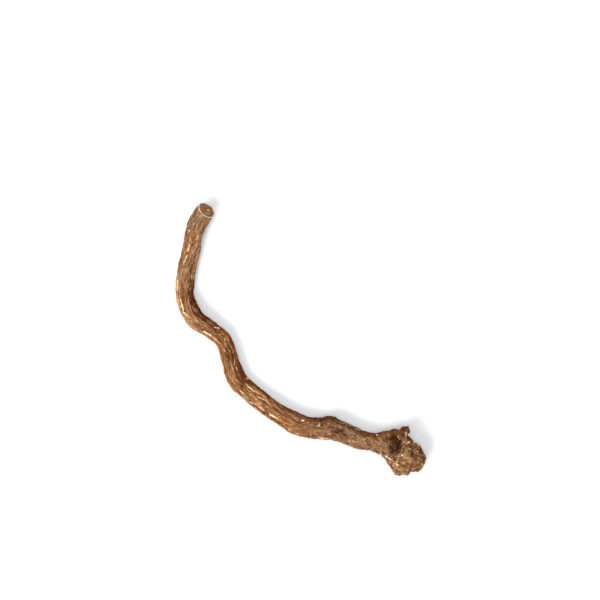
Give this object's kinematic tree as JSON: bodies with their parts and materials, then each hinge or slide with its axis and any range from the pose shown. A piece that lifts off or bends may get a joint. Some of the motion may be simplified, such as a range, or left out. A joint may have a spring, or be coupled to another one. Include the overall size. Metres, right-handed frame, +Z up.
{
  "type": "dandelion root",
  "caption": "Dried dandelion taproot: a long crooked furrowed root in an S, with a knobbly crown at one end and a cut tail at the other, lying on a surface.",
  "frame": {"origin": "middle of the root's footprint, on the surface that it lies on", "axes": "+Z up from the surface, +Y towards the cut tail at the back, +X towards the crown at the right"},
  "size_m": [0.0994, 0.1086, 0.0129],
  "materials": {
    "root_bark": "dry, matt, furrowed bark"
  },
  "bodies": {
    "root": {"dandelion_root": "root_bark"}
  },
  "joints": []
}
